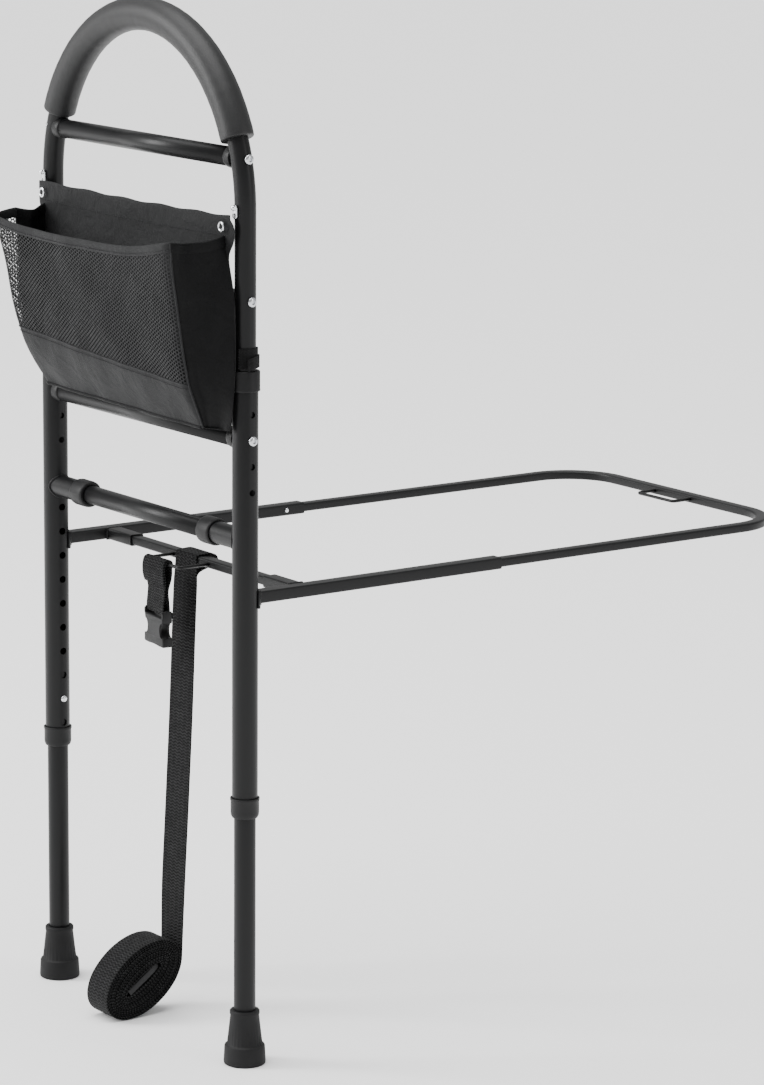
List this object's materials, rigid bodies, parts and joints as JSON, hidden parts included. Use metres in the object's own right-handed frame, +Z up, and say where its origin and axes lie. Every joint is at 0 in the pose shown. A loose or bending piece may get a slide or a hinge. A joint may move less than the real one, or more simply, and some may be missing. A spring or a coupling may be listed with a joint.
{
  "type": "bed assist rail",
  "caption": "Height-adjustable bed assist rail: arched foam handle on telescopic legs, a frame that slides under the mattress, a securing strap and a hanging pouch.",
  "frame": {"origin": "middle of the cross tube's underside, where the rail rests on the bed base", "axes": "+Z up, +Y from the uprights under the mattress, +X to the rail's right side"},
  "size_m": [0.392, 0.7801, 1.0396],
  "materials": {
    "powder_coat": "satin black powder coat on steel tube",
    "black_plastic": "moulded, fine texture",
    "rubber": "matte",
    "foam": "closed-cell foam skin, matte",
    "chrome": "bright plated",
    "spring_steel": "plain spring steel",
    "webbing": "woven polypropylene webbing",
    "nylon": "coated nylon with a mesh front"
  },
  "bodies": {
    "uprights": {"left_upright_tube": "powder_coat", "left_lower_collar": "black_plastic", "left_upper_collar": "black_plastic", "left_spreader_stub": "powder_coat", "left_spreader_collar": "black_plastic", "left_bed_tube": "powder_coat", "left_weld_bracket": "powder_coat", "left_cross_stub": "powder_coat", "right_upright_tube": "powder_coat", "right_lower_collar": "black_plastic", "right_upper_collar": "black_plastic", "right_spreader_stub": "powder_coat", "right_spreader_collar": "black_plastic", "right_bed_tube": "powder_coat", "right_weld_bracket": "powder_coat", "right_cross_stub": "powder_coat", "spreader_inner_tube": "powder_coat", "cross_inner_tube": "powder_coat", "strap_ring": "powder_coat", "hanging_strap": "webbing", "strap_roll": "webbing", "male_buckle": "black_plastic"},
    "handle": {"handle_tube": "powder_coat", "foam_grip": "foam", "pouch": "nylon", "left_eyelet": "chrome", "left_hanger": "chrome", "right_eyelet": "chrome", "right_hanger": "chrome", "top_cross_bar": "powder_coat", "top_bar_left_saddle": "black_plastic", "top_bar_left_bolt": "chrome", "top_bar_right_saddle": "black_plastic", "top_bar_right_bolt": "chrome", "middle_cross_bar": "powder_coat", "middle_bar_left_saddle": "black_plastic", "middle_bar_left_bolt": "chrome", "middle_bar_right_saddle": "black_plastic", "middle_bar_right_bolt": "chrome", "lower_cross_bar": "powder_coat", "lower_bar_left_saddle": "black_plastic", "lower_bar_left_bolt": "chrome", "lower_bar_right_saddle": "black_plastic", "lower_bar_right_bolt": "chrome"},
    "pouch_ties": {"left_pouch_tie": "webbing", "right_pouch_tie": "webbing"},
    "bed_loop": {"bed_loop_tube": "powder_coat", "end_ring": "powder_coat"},
    "hanging_buckle": {"short_strap": "webbing", "female_buckle": "black_plastic"},
    "left_leg": {"left_lower_leg": "powder_coat", "left_rubber_tip": "rubber", "left_leg_spring": "spring_steel"},
    "left_leg_button": {"left_leg_button": "chrome"},
    "left_loop_button": {"left_loop_button": "chrome"},
    "right_leg": {"right_lower_leg": "powder_coat", "right_rubber_tip": "rubber", "right_leg_spring": "spring_steel"},
    "right_leg_button": {"right_leg_button": "chrome"},
    "right_loop_button": {"right_loop_button": "chrome"}
  },
  "joints": [
    {"name": "handle_slide", "type": "slide", "parent": "uprights", "child": "handle", "axis": [0, 0, 1], "range_m": [-0.0254, 0.0254]},
    {"name": "pouch_tie_slide", "type": "slide", "parent": "handle", "child": "pouch_ties", "axis": [0, 0, 1], "range_m": [-0.0254, 0.0254]},
    {"name": "bed_loop_slide", "type": "slide", "parent": "uprights", "child": "bed_loop", "axis": [0, 1, 0], "range_m": [-0.22, 0], "deforming": ["left_loop_button", "right_loop_button"]},
    {"name": "buckle_swing", "type": "hinge", "parent": "uprights", "child": "hanging_buckle", "pos_m": [-0.0175, -0.041, 0.0045], "axis": [1, 0, 0], "range_deg": [-80, 8]},
    {"name": "left_leg_slide", "type": "slide", "parent": "uprights", "child": "left_leg", "axis": [0, 0, 1], "range_m": [-0.0254, 0.1778], "deforming": ["left_leg_button"]},
    {"name": "left_leg_button_press", "type": "slide", "parent": "left_leg", "child": "left_leg_button", "axis": [-1, 0, 0], "range_m": [0, 0.0042], "stiffness_N_per_m": 900, "springref_m": -0.004, "deforming": ["left_leg_spring"]},
    {"name": "left_loop_button_press", "type": "slide", "parent": "bed_loop", "child": "left_loop_button", "axis": [-1, 0, 0], "range_m": [0, 0.0028], "stiffness_N_per_m": 900, "springref_m": -0.003},
    {"name": "right_leg_slide", "type": "slide", "parent": "uprights", "child": "right_leg", "axis": [0, 0, 1], "range_m": [-0.0254, 0.1778], "deforming": ["right_leg_button"]},
    {"name": "right_leg_button_press", "type": "slide", "parent": "right_leg", "child": "right_leg_button", "axis": [1, 0, 0], "range_m": [0, 0.0042], "stiffness_N_per_m": 900, "springref_m": -0.004, "deforming": ["right_leg_spring"]},
    {"name": "right_loop_button_press", "type": "slide", "parent": "bed_loop", "child": "right_loop_button", "axis": [1, 0, 0], "range_m": [0, 0.0028], "stiffness_N_per_m": 900, "springref_m": -0.003}
  ],
  "couplings": [
    {"joint": "pouch_tie_slide", "follows": "handle_slide", "ratio": -1}
  ]
}
